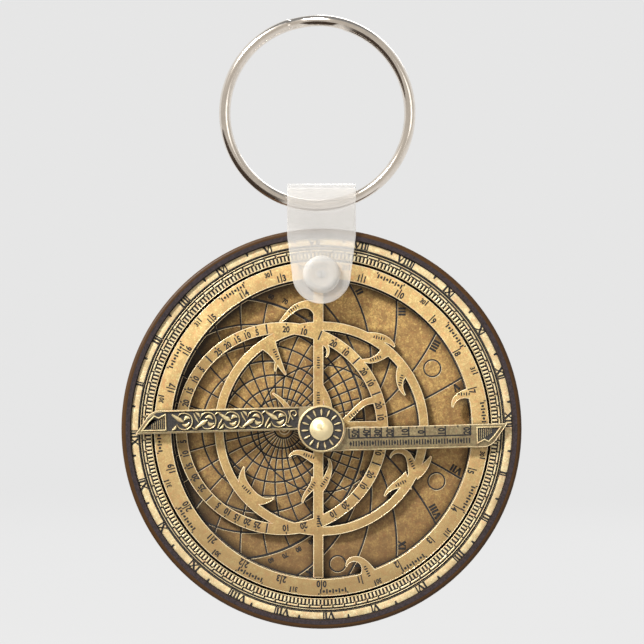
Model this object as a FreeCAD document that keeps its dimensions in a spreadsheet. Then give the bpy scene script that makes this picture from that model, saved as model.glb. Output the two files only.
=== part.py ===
import FreeCAD, Part
import math
import os

import Sketcher
from FreeCAD import Placement, Rotation, Vector

# A pocket astrolabe worn on a key ring.
#
# A split ring hangs from a hook. A folded clear strap loops over the split ring,
# straddles the rim of the disc and is closed by a press snap whose shank goes
# through the disc. The disc is a working astrolabe: a dark bezel holds the mater,
# the hour ring, the degree ring, two plates and the calendar ring. The rete, the
# rule and, on the back, the alidade with two folding sight vanes turn on one pin,
# which a wedge, the horse, locks.
#
# Row frame: +Z up, the front of the disc faces -Y, the origin is the point on the
# inside of the split ring where a hook bears, above the middle of the disc.
# Disc frame: X right, Y up, Z out of the front face. Levels are heights in that
# frame, measured from the middle of the disc's thickness.

SIZES = {
    # the hanging parts
    "ring_inner": (12.4, "split ring, inside radius"),
    "ring_wire": (0.8, "split ring, wire radius"),
    "ring_coil_gap": (0.02, "gap between the two coils"),
    "ring_side": (-0.6, "how far the split ring has slid to the left in the strap"),
    "ring_jog": (26.0, "angle over which the wire crosses between its coils"),
    "loop_drop": (12.6, "hinge line of the strap loop below the split ring's centre"),
    "loop_inner": (1.95, "inside radius of the strap loop"),
    "strap_thickness": (0.6, "strap sheet"),
    "strap_half_width": (4.9, "half of the strap's width at the loop"),
    "strap_end": (4.2, "radius of the strap's rounded ends"),
    "strap_level": (2.35, "inner face of each strap leg"),
    "snap_head": (2.67, "radius of the snap's cap and socket"),
    "snap_head_depth": (0.75, "how far cap and socket stand out"),
    "snap_shank": (0.6, "radius of the snap's shank"),
    "snap_hole": (0.72, "radius of the holes for the shank in the disc"),
    "snap_height": (22.0, "snap above the pin"),
    # the case
    "disc_height": (-57.4, "pin below the hanging point"),
    "case_radius": (28.5, "bezel, outside radius"),
    "bezel_inner": (27.25, "bezel, inside radius"),
    "bezel_lip": (26.6, "inside radius of the lip behind the mater"),
    "bezel_front": (2.2, "front level of the bezel"),
    "bezel_back": (-2.2, "back level of the bezel"),
    "bezel_lip_depth": (0.3, "depth of the lip"),
    "bezel_round": (0.45, "rounding of the bezel's outer edges"),
    "mater_radius": (27.2, "mater, hour ring outside radius"),
    "mater_back": (-1.88, "back level of the mater"),
    "mater_front": (-1.1, "front level of the mater, the floor of its womb"),
    "hour_inner": (26.02, "hour ring, inside radius"),
    "hour_front": (1.9, "front level of the hour ring"),
    "degree_outer": (26.0, "degree ring, outside radius"),
    "degree_inner": (24.2, "degree ring, inside radius"),
    "degree_front": (1.7, "front level of the degree ring"),
    "rivet_circle": (25.1, "radius of the circle that the limb's rivets stand on"),
    "rivet_radius": (0.5, "shank of a limb rivet"),
    "rivet_head": (0.85, "head of a limb rivet"),
    "rivet_head_depth": (0.16, "how far a rivet head stands out"),
    "rivet_front": (0.6, "front level of a rivet's shank"),
    "plate_radius": (24.1, "both plates"),
    "spare_back": (-1.08, "back level of the spare plate"),
    "plate_back": (-0.56, "back level of the plate in use"),
    "plate_thickness": (0.5, "both plates"),
    "calendar_outer": (23.8, "calendar ring, outside radius"),
    "calendar_inner": (21.5, "calendar ring, inside radius"),
    "calendar_back": (-0.04, "back level of the calendar ring"),
    "calendar_hook": (1.0, "back level of the ring's hooks, above the rete"),
    "calendar_front": (1.6, "front level of the calendar ring"),
    "lug_radius": (1.7, "lug of the calendar ring round the snap's shank"),
    # what turns
    "pin_radius": (0.9, "central pin"),
    "pin_hole": (0.97, "holes for the pin in the pieces that turn or stand on it"),
    "pin_head": (1.67, "radius of the pin's domed head"),
    "pin_head_depth": (0.75, "height of the dome"),
    "pin_back": (-4.3, "tail of the pin"),
    "rete_back": (0.22, "back level of the rete"),
    "rete_front": (0.86, "front level of the rete"),
    "rete_reach": (21.2, "furthest reach of the rete"),
    "rete_hub": (2.6, "hub of the rete"),
    "ecliptic_side": (-5.65, "centre of the ecliptic ring, left of the pin"),
    "ecliptic_outer": (15.1, "ecliptic ring, outside radius"),
    "ecliptic_inner": (13.6, "ecliptic ring, inside radius"),
    "equator_outer": (15.2, "equator ring, outside radius"),
    "equator_inner": (14.05, "equator ring, inside radius"),
    "bar_width": (1.3, "meridian bar of the rete"),
    "bar_side": (-1.1, "left edge of the meridian bar"),
    "crossbar_width": (1.2, "crossbar of the rete"),
    "crossbar_step": (0.15, "how far the crossbar's halves stand off the level line"),
    "collar_radius": (2.4, "collar between rete and rule"),
    "collar_back": (0.94, "back level of the collar"),
    "collar_front": (1.92, "front level of the collar"),
    "rule_back": (2.0, "back level of the rule"),
    "rule_arm_front": (2.6, "front level of the rule's arms"),
    "rule_boss_front": (2.75, "front level of the rule's boss"),
    "rule_boss": (3.35, "radius of the rule's boss"),
    "rule_reach": (26.4, "tip of the rule from the pin"),
    "rule_width": (3.2, "width of each arm"),
    "rule_angle": (1.6, "how far the rule is turned from level"),
    "rosette_radius": (3.1, "rosette on the boss"),
    "rosette_front": (2.95, "front level of the rosette"),
    # the back
    "washer_radius": (2.2, "washers behind the mater and behind the alidade"),
    "washer_front": (-1.92, "front level of the washer behind the mater"),
    "alidade_front": (-2.15, "front level of the alidade"),
    "alidade_back": (-2.75, "back level of the alidade"),
    "alidade_reach": (17.2, "tip of the alidade from the pin"),
    "alidade_shoulder": (14.4, "where the alidade starts to taper"),
    "alidade_half_width": (1.5, "half of the alidade's width"),
    "alidade_boss": (3.0, "boss of the alidade"),
    "vane_place": (12.9, "hinge line of each sight vane from the pin"),
    "vane_axis": (-3.25, "level of the vanes' hinge lines"),
    "vane_thickness": (0.5, "sight vane sheet"),
    "vane_height": (3.4, "sight vane, from its hinge line to its top"),
    "vane_half_width": (1.5, "half of a sight vane's width"),
    "ear_radius": (0.42, "hinge ears and knuckles"),
    "ear_width": (0.5, "each ear"),
    "hinge_pin": (0.2, "hinge pin radius"),
    "hinge_hole": (0.24, "hole for the hinge pin"),
    "sight_hole": (0.35, "sight hole radius"),
    "tail_washer_back": (-2.95, "back level of the washer behind the alidade"),
    "wedge_front": (-3.0, "flat face of the horse"),
    "wedge_depth": (0.55, "thickness of the horse at the pin"),
    "wedge_taper": (0.055, "loss of thickness per millimetre towards its tip"),
    "wedge_height": (0.5, "height of the horse"),
    "wedge_head": (-3.3, "thick end of the horse"),
    "wedge_tip": (2.7, "thin end of the horse"),
    "slot_room": (0.05, "play of the horse in the pin's slot"),
}
RIVETS = 6  # limb rivets, evenly spaced

# Star pointers of the rete and hooks of the calendar ring: the middle line of each
# one from its root to its tip, as (x, y, width) in the disc frame.
POINTERS = {
    "tendril": [(-0.7, 17.1, 1.9), (-2.3, 17.7, 1.0), (-3.9, 17.1, 0.8), (-5.0, 16.1, 0.6),
                (-5.9, 15.2, 0.2)],
    "upper_flame": [(-7.8, 12.3, 2.7), (-6.8, 10.8, 1.3), (-6.1, 9.5, 0.8), (-5.7, 8.7, 0.55),
                    (-5.1, 7.7, 0.17)],
    "upper_barb": [(-6.2, 9.6, 0.5), (-6.5, 8.9, 0.4), (-6.6, 8.2, 0.17)],
    "bar_curl": [(-0.3, 12.0, 0.5), (0.55, 11.95, 0.45), (0.95, 11.1, 0.35), (0.65, 10.2, 0.15)],
    "bar_bulge": [(-0.2, 6.4, 0.5), (0.4, 5.0, 0.85), (0.9, 3.4, 1.0), (0.9, 1.8, 1.0)],
    "left_thorn": [(-4.1, 0.3, 0.9), (-4.6, 2.6, 0.7), (-5.6, 3.9, 0.5), (-6.9, 5.0, 0.17)],
    "hub_leaf": [(-0.6, -4.5, 1.3), (-2.3, -3.7, 0.85), (-3.4, -3.4, 0.6), (-4.6, -4.0, 0.17)],
    "bar_flame": [(-0.2, -8.7, 1.0), (0.5, -7.6, 0.95), (1.05, -6.3, 0.7), (1.25, -5.3, 0.45),
                  (1.0, -4.3, 0.17)],
    "bar_thorn": [(-0.8, -7.2, 1.3), (-1.5, -8.5, 0.8), (-2.3, -9.5, 0.5), (-2.7, -10.5, 0.17)],
    "low_moon": [(-11.0, -5.5, 0.17), (-11.3, -7.0, 0.9), (-10.8, -8.7, 1.6), (-9.7, -9.9, 1.6),
                 (-8.3, -10.3, 0.9), (-6.8, -9.9, 0.17)],
    "outer_flame": [(6.0, 13.3, 0.7), (8.1, 13.0, 1.1), (9.4, 12.6, 0.8), (10.4, 11.7, 0.2)],
    "right_leaf": [(9.2, 11.1, 1.6), (7.7, 9.9, 0.85), (6.7, 9.65, 0.6), (5.7, 9.8, 0.17)],
    "right_hook": [(12.1, 8.4, 2.6), (11.2, 7.1, 1.1), (11.3, 5.9, 0.6), (11.9, 4.8, 0.17)],
    "hub_arm": [(1.6, 0.3, 0.8), (4.2, 1.9, 0.8), (5.6, 3.3, 0.8), (8.2, 3.95, 0.9)],
    "hub_web": [(2.4, 0.5, 0.9), (5.0, 0.62, 0.7), (8.0, 0.65, 0.7)],
    "low_hook": [(13.3, -6.4, 1.7), (12.7, -4.6, 1.0), (11.9, -3.4, 0.7), (10.9, -3.2, 0.55),
                 (9.8, -4.1, 0.17)],
    "outer_stub": [(13.2, -6.6, 1.6), (14.8, -5.3, 0.9), (15.6, -4.0, 0.2)],
    "low_beak": [(12.4, -7.4, 2.6), (11.2, -7.8, 1.3), (10.2, -8.3, 0.75), (9.0, -9.6, 0.17)],
}
HOOKS = {
    "side_hook": [(22.4, 5.0, 2.6), (20.8, 5.0, 1.3), (19.7, 4.7, 0.85), (19.0, 4.1, 0.6),
                  (18.7, 3.1, 0.17)],
    "bottom_hook": [(6.6, -21.9, 4.4), (6.7, -20.6, 2.2), (6.2, -19.4, 1.15), (5.3, -18.65, 0.75),
                    (4.3, -18.65, 0.6), (3.55, -19.6, 0.2)],
}

doc = FreeCAD.newDocument("Astrolabe")
sheet = doc.addObject("Spreadsheet::Sheet", "Sizes")
for row, (alias, (number, note)) in enumerate(SIZES.items(), start=1):
    sheet.set(f"A{row}", note)
    sheet.set(f"B{row}", str(number))
    sheet.setAlias(f"B{row}", alias)
doc.recompute()

FACE_FRONT = Rotation(Vector(1, 0, 0), 90)  # disc frame to row frame
SUB_PARTS = []


def size(alias):
    return float(sheet.get(alias))


def bind(obj, **expressions):
    """Binds properties of obj to expressions, in which sheet aliases are bare words."""
    for name, text in expressions.items():
        obj.setExpression(name, in_sheet(text))


def in_sheet(text):
    """The expression with every sheet alias written as Sizes.alias."""
    words, word = [], ""
    for letter in str(text) + " ":
        if letter.isalnum() or letter in "_.":
            word += letter
            continue
        words.append(f"Sizes.{word}" if word in SIZES else word)
        words.append(letter)
        word = ""
    return "".join(words).strip()


def sub_part(obj, name, level="0", turn=0.0):
    """Labels obj as a sub-part and stands it on the disc, with its own zero at a level."""
    obj.Label = name
    obj.Placement = Placement(Vector(0, 0, 0), FACE_FRONT * Rotation(Vector(0, 0, 1), turn))
    obj.setExpression(".Placement.Base.y", in_sheet(f"-({level})"))
    obj.setExpression(".Placement.Base.z", in_sheet("disc_height"))
    SUB_PARTS.append(obj)
    return obj


# ---- PartDesign helpers -------------------------------------------------------


def circles_sketch(body, name, circles):
    """A sketch on the body's XY plane: circles as (x, y, radius) expressions."""
    sketch = body.newObject("Sketcher::SketchObject", name)
    base = next(f for f in body.Origin.OriginFeatures if f.Role == "XY_Plane")
    sketch.AttachmentSupport = [(base, "")]
    sketch.MapMode = "FlatFace"
    for number, (x, y, radius) in enumerate(circles):
        at = sketch.addGeometry(Part.Circle(Vector(number, number, 0), Vector(0, 0, 1), 1.0 + number))
        wanted = [("Radius", (at,), radius)]
        for kind, place, axis in (("DistanceX", x, -2), ("DistanceY", y, -1)):
            if place == "0":
                sketch.addConstraint(Sketcher.Constraint("PointOnObject", at, 3, axis))
            else:
                wanted.append((kind, (at, 3), place))
        for kind, target, text in wanted:
            start = 1.0 + number
            index = sketch.addConstraint(Sketcher.Constraint(kind, *target, start))
            label = f"{kind.lower()}_{number}"
            sketch.renameConstraint(index, label)
            sketch.setExpression(f"Constraints.{label}", in_sheet(text))
    return sketch


def pad(body, name, circles, depth, start="0"):
    """Pads a sketch of circles by depth, from start above the body's XY plane."""
    sketch = circles_sketch(body, f"{name}_sketch", circles)
    sketch.setExpression(".AttachmentOffset.Base.z", in_sheet(start))
    feature = body.newObject("PartDesign::Pad", name)
    feature.Profile = sketch
    bind(feature, Length=depth)
    doc.recompute()
    return feature


def pocket_through(body, name, circles):
    """Cuts circles right through the body, both ways from its XY plane."""
    sketch = circles_sketch(body, f"{name}_sketch", circles)
    feature = body.newObject("PartDesign::Pocket", name)
    feature.Profile = sketch
    feature.Type = "ThroughAll"
    feature.Midplane = True
    doc.recompute()
    return feature


def polar(body, feature, name, count):
    """Repeats a feature round the body's Z axis."""
    pattern = body.newObject("PartDesign::PolarPattern", name)
    pattern.Originals = [feature]
    axis = next(f for f in body.Origin.OriginFeatures if f.Role == "Z_Axis")
    pattern.Axis = (axis, [""])
    pattern.Angle = 360
    pattern.Occurrences = count
    body.Tip = pattern
    doc.recompute()
    return pattern


def round_piece(name, outer, low, high, holes):
    """A flat round piece between two levels: a pad of one circle with round holes."""
    body = doc.addObject("PartDesign::Body", name)
    pad(body, f"{name}_pad", [("0", "0", outer), *holes], f"({high}) - ({low})")
    sub_part(body, name, low)
    return body


# ---- Part helpers -------------------------------------------------------------


def cylinder(name, radius, low, high, x="0", y="0"):
    """A cylinder between two levels of the disc frame."""
    piece = doc.addObject("Part::Cylinder", name)
    bind(piece, Radius=radius, Height=f"({high}) - ({low})")
    for axis, text in (("x", x), ("y", y), ("z", low)):
        piece.setExpression(f".Placement.Base.{axis}", in_sheet(text))
    return piece


def block(name, length, width, depth, x, y, z):
    """A box with one corner at x, y, z."""
    piece = doc.addObject("Part::Box", name)
    bind(piece, Length=length, Width=width, Height=depth)
    for axis, text in (("x", x), ("y", y), ("z", z)):
        piece.setExpression(f".Placement.Base.{axis}", in_sheet(text))
    return piece


def cut(name, base, tool):
    piece = doc.addObject("Part::Cut", name)
    piece.Base, piece.Tool = base, tool
    return piece


def fuse(name, *pieces):
    piece = doc.addObject("Part::MultiFuse", name)
    piece.Shapes = list(pieces)
    piece.Refine = True
    return piece


def common(name, *pieces):
    piece = doc.addObject("Part::MultiCommon", name)
    piece.Shapes = list(pieces)
    return piece


def ring(name, outer, inner, low, high, x="0"):
    """A flat ring between two levels."""
    disc = cylinder(f"{name}_disc", outer, low, high, x)
    hole = cylinder(f"{name}_hole", inner, f"({low}) - 1", f"({high}) + 1", x)
    return cut(name, disc, hole)


def extrusion(name, wire, low, high):
    """A closed flat wire of the disc frame, extruded between two levels."""
    outline = doc.addObject("Part::Feature", f"{name}_outline")
    outline.Shape = wire
    outline.setExpression(".Placement.Base.z", in_sheet(low))
    solid = doc.addObject("Part::Extrusion", name)
    solid.Base = outline
    solid.Dir = Vector(0, 0, 1)
    solid.DirMode = "Custom"
    solid.Solid = True
    bind(solid, LengthFwd=f"({high}) - ({low})")
    return solid


def curve_through(points):
    spline = Part.BSplineCurve()
    spline.interpolate(points)
    return spline.toShape()


def thorn_wire(middle_line):
    """The outline of a tapering pointer: a smooth curve up each side and a blunt tip."""
    places = [Vector(x, y, 0) for x, y, _ in middle_line]
    last = len(places) - 1
    sides = ([], [])
    for number, (_, _, width) in enumerate(middle_line):
        along = places[min(number + 1, last)] - places[max(number - 1, 0)]
        across = Vector(-along.y, along.x, 0).normalize() * (width / 2)
        sides[0].append(places[number] + across)
        sides[1].append(places[number] - across)
    left, right = sides
    edges = [curve_through(left), Part.LineSegment(left[-1], right[-1]).toShape()]
    edges += [curve_through(right[::-1]), Part.LineSegment(right[0], left[0]).toShape()]
    return Part.Wire(Part.__sortEdges__(edges))


def thorns(table, low, high):
    return [extrusion(name, thorn_wire(line), low, high) for name, line in table.items()]


# ---- the case ------------------------------------------------------------------

PIN_HOLE = ("0", "0", "pin_hole")
SNAP_HOLE = ("0", "snap_height", "snap_hole")


def make_bezel():
    body = doc.addObject("PartDesign::Body", "bezel")
    pad(body, "bezel_wall", [("0", "0", "case_radius"), ("0", "0", "bezel_inner")],
        "bezel_front - bezel_back")
    pad(body, "bezel_lip_ring", [("0", "0", "case_radius - 0.3"), ("0", "0", "bezel_lip")], "bezel_lip_depth")
    rim = size("case_radius")
    outer = [f"Edge{n}" for n, edge in enumerate(body.Shape.Edges, start=1)
             if len(edge.Vertexes) == 1 and abs(edge.Curve.Radius - rim) < 1e-6]
    wall_and_lip = body.Tip
    fillet = body.newObject("PartDesign::Fillet", "bezel_rounding")
    fillet.Base = (wall_and_lip, outer)
    bind(fillet, Radius="bezel_round")
    doc.recompute()
    sub_part(body, "bezel", "bezel_back")


def rivet_place():
    return ("rivet_circle", "0", "rivet_radius")


def make_mater():
    body = round_piece("mater", "mater_radius", "mater_back", "mater_front", [PIN_HOLE, SNAP_HOLE])
    hole = pocket_through(body, "mater_rivet_hole", [rivet_place()])
    polar(body, hole, "mater_rivet_holes", RIVETS)


def make_limb():
    round_piece("hour_ring", "mater_radius", "mater_front", "hour_front", [("0", "0", "hour_inner")])
    body = round_piece("degree_ring", "degree_outer", "mater_front", "degree_front",
                       [("0", "0", "degree_inner")])
    sketch = circles_sketch(body, "degree_rivet_hole_sketch", [rivet_place()])
    hole = body.newObject("PartDesign::Pocket", "degree_rivet_hole")
    hole.Profile = sketch
    hole.Reversed = True
    bind(hole, Length="rivet_front - mater_front")
    doc.recompute()
    polar(body, hole, "degree_rivet_holes", RIVETS)


def make_limb_rivets():
    rivets = []
    for number in range(RIVETS):
        turn = 360.0 / RIVETS * number
        x, y = f"rivet_circle * cos({turn})", f"rivet_circle * sin({turn})"
        shank = cylinder(f"rivet_shank_{number}", "rivet_radius", "mater_back", "rivet_front", x, y)
        head_back = "mater_back - rivet_head_depth"
        head = cylinder(f"rivet_head_{number}", "rivet_head", head_back, "mater_back", x, y)
        rivets.append(fuse(f"rivet_{number}", shank, head))
    group = doc.addObject("Part::Compound", "limb_rivets")
    group.Links = rivets
    sub_part(group, "limb_rivets")


def make_plates():
    for name, back in (("spare_plate", "spare_back"), ("plate", "plate_back")):
        round_piece(name, "plate_radius", back, f"{back} + plate_thickness", [PIN_HOLE, SNAP_HOLE])


def make_calendar_ring():
    band = ring("calendar_band", "calendar_outer", "calendar_inner", "calendar_back", "calendar_front")
    lug = cylinder("calendar_lug", "lug_radius", "calendar_hook", "calendar_front", y="snap_height")
    joined = fuse("calendar_joined", band, lug, *thorns(HOOKS, "calendar_hook", "calendar_front"))
    hole = cylinder("calendar_snap_hole", "snap_hole", "calendar_back - 1", "calendar_front + 1",
                    y="snap_height")
    drilled = cut("calendar_drilled", joined, hole)
    outside = cylinder("calendar_outside", "calendar_outer", "calendar_back", "calendar_front")
    sub_part(common("calendar_ring", drilled, outside), "calendar_ring")


# ---- what turns on the pin -----------------------------------------------------


def make_rete():
    low, high = "rete_back", "rete_front"
    depth = "rete_front - rete_back"
    half_bar = "equator_inner + 0.4"
    frame = [
        ring("equator_band", "equator_outer", "equator_inner", low, high),
        ring("ecliptic_band", "ecliptic_outer", "ecliptic_inner", low, high, x="ecliptic_side"),
        cylinder("rete_hub_disc", "rete_hub", low, high),
        block("meridian_bar", "bar_width", "2 * rete_reach", depth, "bar_side", "-rete_reach", low),
        block("right_crossbar", half_bar, "crossbar_width", depth, "0",
              "-crossbar_width + crossbar_step", low),
        block("left_crossbar", half_bar, "crossbar_width", depth, f"-({half_bar})", "crossbar_step", low),
    ]
    joined = fuse("rete_joined", *frame, *thorns(POINTERS, low, high))
    inside = cylinder("rete_limit", "rete_reach", low, high)
    trimmed = common("rete_trimmed", joined, inside)
    bore = cylinder("rete_bore", "pin_hole", "rete_back - 1", "rete_front + 1")
    sub_part(cut("rete", trimmed, bore), "rete")


def arm_wire():
    """One arm of the rule: its straight edge runs through the pin, its end sweeps to a point."""
    reach, width = size("rule_reach"), size("rule_width")
    tip, base = Vector(-reach, 0, 0), Vector(0, 0, 0)
    cheek = Vector(-reach + 1.45, 0.62 * width, 0)
    crown = Vector(-reach + 2.5, 0.93 * width, 0)
    shoulder = Vector(-reach + 3.8, width, 0)
    root = Vector(0, width, 0)
    edges = [
        Part.LineSegment(base, tip).toShape(),
        Part.LineSegment(tip, cheek).toShape(),
        Part.Arc(cheek, crown, shoulder).toShape(),
        Part.LineSegment(shoulder, root).toShape(),
        Part.LineSegment(root, base).toShape(),
    ]
    return Part.Wire(edges)


def make_rule():
    arms = []
    for number, turn in enumerate((0, 180)):
        wire = arm_wire()
        wire.rotate(Vector(0, 0, 0), Vector(0, 0, 1), turn)
        arms.append(extrusion(f"rule_arm_{number}", wire, "rule_back", "rule_arm_front"))
    boss = cylinder("rule_boss_disc", "rule_boss", "rule_back", "rule_boss_front")
    bore = cylinder("rule_bore", "pin_hole", "rule_back - 1", "rule_boss_front + 1")
    rule = cut("rule", fuse("rule_joined", boss, *arms), bore)
    sub_part(rule, "rule", turn=size("rule_angle"))
    round_piece("rosette", "rosette_radius", "rule_boss_front", "rosette_front", [PIN_HOLE])


def make_pin():
    base = "(rosette_front + 0.02)"
    ball_radius = "((pin_head ^ 2 + pin_head_depth ^ 2) / (2 * pin_head_depth))"
    ball = doc.addObject("Part::Sphere", "pin_ball")
    bind(ball, Radius=ball_radius)
    ball.setExpression(".Placement.Base.z", in_sheet(f"{base} + pin_head_depth - {ball_radius}"))
    seat = cylinder("pin_seat", "pin_head", base, f"{base} + pin_head_depth")
    dome = common("pin_dome", ball, seat)
    stem = cylinder("pin_stem", "pin_radius", "pin_back", f"{base} + 0.2")
    slot_depth = "wedge_depth + 2 * wedge_taper * pin_radius + 2 * slot_room"
    slot = block("pin_slot", "4 * pin_radius", "wedge_height + 2 * slot_room", slot_depth,
                 "-2 * pin_radius", "-wedge_height / 2 - slot_room",
                 f"wedge_front + slot_room - ({slot_depth})")
    sub_part(cut("pin", fuse("pin_joined", dome, stem), slot), "pin")


def make_collars():
    round_piece("collar", "collar_radius", "collar_back", "collar_front", [PIN_HOLE])
    round_piece("back_washer", "washer_radius", "alidade_front + 0.04", "washer_front", [PIN_HOLE])
    round_piece("tail_washer", "washer_radius", "tail_washer_back", "alidade_back - 0.04", [PIN_HOLE])


def make_horse():
    """The wedge: flat towards the disc, its back face tapering to the tip."""
    front, depth, taper = size("wedge_front"), size("wedge_depth"), size("wedge_taper")
    head, tip, height = size("wedge_head"), size("wedge_tip"), size("wedge_height")
    corners = [
        Vector(head, front, 0),
        Vector(tip, front, 0),
        Vector(tip, front - depth + taper * tip, 0),
        Vector(head, front - depth + taper * head, 0),
    ]
    outline = doc.addObject("Part::Feature", "horse_outline")
    outline.Shape = Part.makePolygon([*corners, corners[0]])
    outline.Placement = Placement(Vector(0, 0, 0), Rotation(Vector(1, 0, 0), 90))
    outline.setExpression(".Placement.Base.y", in_sheet("wedge_height / 2"))
    wedge = doc.addObject("Part::Extrusion", "horse")
    wedge.Base = outline
    wedge.DirMode = "Custom"
    wedge.Dir = Vector(0, -1, 0)
    wedge.Solid = True
    bind(wedge, LengthFwd="wedge_height")
    sub_part(wedge, "horse")


# ---- the alidade and its sight vanes -------------------------------------------

SIDES = {"left": -1, "right": 1}


def across(name, radius, side, low, high):
    """A cylinder along the hinge line of a vane, between two heights on the disc."""
    piece = doc.addObject("Part::Cylinder", name)
    bind(piece, Radius=radius, Height=f"({high}) - ({low})")
    piece.Placement = Placement(Vector(0, 0, 0), Rotation(Vector(1, 0, 0), -90))
    places = (("x", f"{side} * vane_place"), ("y", low), ("z", "vane_axis"))
    for axis, text in places:
        piece.setExpression(f".Placement.Base.{axis}", in_sheet(text))
    return piece


def make_alidade():
    reach, shoulder, half = size("alidade_reach"), size("alidade_shoulder"), size("alidade_half_width")
    corners = [Vector(x, y, 0) for x, y in
               ((-reach, 0), (-shoulder, half), (shoulder, half),
                (reach, 0), (shoulder, -half), (-shoulder, -half))]
    outline = Part.makePolygon([*corners, corners[0]])
    pieces = [extrusion("alidade_bar", outline, "alidade_back", "alidade_front"),
              cylinder("alidade_boss_disc", "alidade_boss", "alidade_back", "alidade_front")]
    holes = [cylinder("alidade_bore", "pin_hole", "alidade_back - 1", "alidade_front + 1")]
    for side_name, side in SIDES.items():
        for end, low in (("low", "-alidade_half_width"), ("high", "alidade_half_width - ear_width")):
            name = f"{side_name}_{end}_ear"
            pieces.append(across(name, "ear_radius", side, low, f"{low} + ear_width"))
            pieces.append(block(f"{name}_foot", "2 * ear_radius", "ear_width", "alidade_back - vane_axis",
                                f"{side} * vane_place - ear_radius", low, "vane_axis"))
        holes.append(across(f"{side_name}_hinge_hole", "hinge_pin", side,
                            "-2 * alidade_half_width", "2 * alidade_half_width"))
    joined = fuse("alidade_joined", *pieces)
    sub_part(cut("alidade", joined, fuse("alidade_holes", *holes)), "alidade")
    pins = [across(f"{side_name}_pin", "hinge_pin", side, "-alidade_half_width", "alidade_half_width")
            for side_name, side in SIDES.items()]
    group = doc.addObject("Part::Compound", "hinge_pins")
    group.Links = pins
    sub_part(group, "hinge_pins")


def make_vane(side_name, side):
    """A sight vane stands out from the back of the alidade on a knuckle between two ears."""
    name = f"{side_name}_sight_vane"
    room = "(ear_width + 0.06)"
    inner = f"(vane_half_width - {room})"
    knuckle = across(f"{name}_knuckle", "ear_radius", side, f"-{inner}", inner)
    neck = block(f"{name}_neck", "vane_thickness", f"2 * {inner}", "ear_radius + 0.2",
                 f"{side} * vane_place - vane_thickness / 2", f"-{inner}", "vane_axis - ear_radius - 0.2")
    top = "(vane_height - ear_radius - 0.08)"
    sheet_piece = block(f"{name}_sheet", "vane_thickness", "2 * vane_half_width", top,
                        f"{side} * vane_place - vane_thickness / 2", "-vane_half_width",
                        "vane_axis - vane_height")
    sight = doc.addObject("Part::Cylinder", f"{name}_sight")
    bind(sight, Radius="sight_hole", Height="4 * vane_thickness")
    sight.Placement = Placement(Vector(0, 0, 0), Rotation(Vector(0, 1, 0), 90))
    sight.setExpression(".Placement.Base.x", in_sheet(f"{side} * vane_place - 2 * vane_thickness"))
    sight.setExpression(".Placement.Base.z", in_sheet("vane_axis - 0.62 * vane_height"))
    hole = across(f"{name}_hole", "hinge_hole", side, "-2 * vane_half_width", "2 * vane_half_width")
    joined = fuse(f"{name}_joined", knuckle, neck, sheet_piece)
    sub_part(cut(name, joined, fuse(f"{name}_holes", sight, hole)), name)


# ---- the strap, its snap and the split ring ------------------------------------


def strap_profile():
    """The strap seen from its side, in the disc frame's Y (up) and Z (front)."""
    level, thick, loop = size("strap_level"), size("strap_thickness"), size("loop_inner")
    foot = size("snap_height") - size("strap_end") - 0.5
    knee = size("case_radius") + 0.6
    # the split ring hangs its inside radius below the hanging point
    loop_y = -size("ring_inner") - size("loop_drop") - size("disc_height")

    def leg_and_loop(face, radius, start):
        """One face of the strap, up the front leg, over the loop and down the back leg."""
        front = [Vector(0, start, face), Vector(0, knee, face), Vector(0, loop_y, radius)]
        back = [Vector(0, p.y, -p.z) for p in reversed(front)]
        over = Part.Arc(front[-1], Vector(0, loop_y + radius, 0), back[0]).toShape()
        rise = [Part.LineSegment(a, b).toShape() for a, b in zip(front, front[1:])]
        fall = [Part.LineSegment(a, b).toShape() for a, b in zip(back, back[1:])]
        return [*rise, over, *fall]

    outer = leg_and_loop(level + thick, loop + thick, foot)
    inner = leg_and_loop(level, loop, foot)
    ends = [Part.LineSegment(Vector(0, foot, side * level), Vector(0, foot, side * (level + thick))).toShape()
            for side in (1, -1)]
    return Part.Wire(Part.__sortEdges__([*outer, *inner, *ends]))


def strap_front_wire():
    """The strap seen from the front: straight sides, a slight taper, a round end."""
    half, end, snap = size("strap_half_width"), size("strap_end"), size("snap_height")
    top = snap + 20
    neck = snap + 5.5
    right = [Vector(end, snap, 0), Vector(half, neck, 0), Vector(half, top, 0)]
    left = [Vector(-p.x, p.y, 0) for p in reversed(right)]
    edges = [Part.LineSegment(a, b).toShape() for a, b in zip(right + left, (right + left)[1:])]
    edges.append(Part.Arc(left[-1], Vector(0, snap - end, 0), right[0]).toShape())
    return Part.Wire(edges)


def make_strap():
    profile = doc.addObject("Part::Feature", "strap_side_outline")
    profile.Shape = strap_profile()
    folded = doc.addObject("Part::Extrusion", "strap_folded")
    folded.Base = profile
    folded.DirMode = "Custom"
    folded.Dir = Vector(1, 0, 0)
    folded.Solid = True
    folded.Symmetric = True
    bind(folded, LengthFwd="2 * strap_half_width")
    outline = extrusion("strap_front_outline_prism", strap_front_wire(), "-8", "8")
    shaped = common("strap_shaped", folded, outline)
    hole = cylinder("strap_hole", "snap_shank + 0.03", "-8", "8", y="snap_height")
    sub_part(cut("strap", shaped, hole), "strap")


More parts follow.
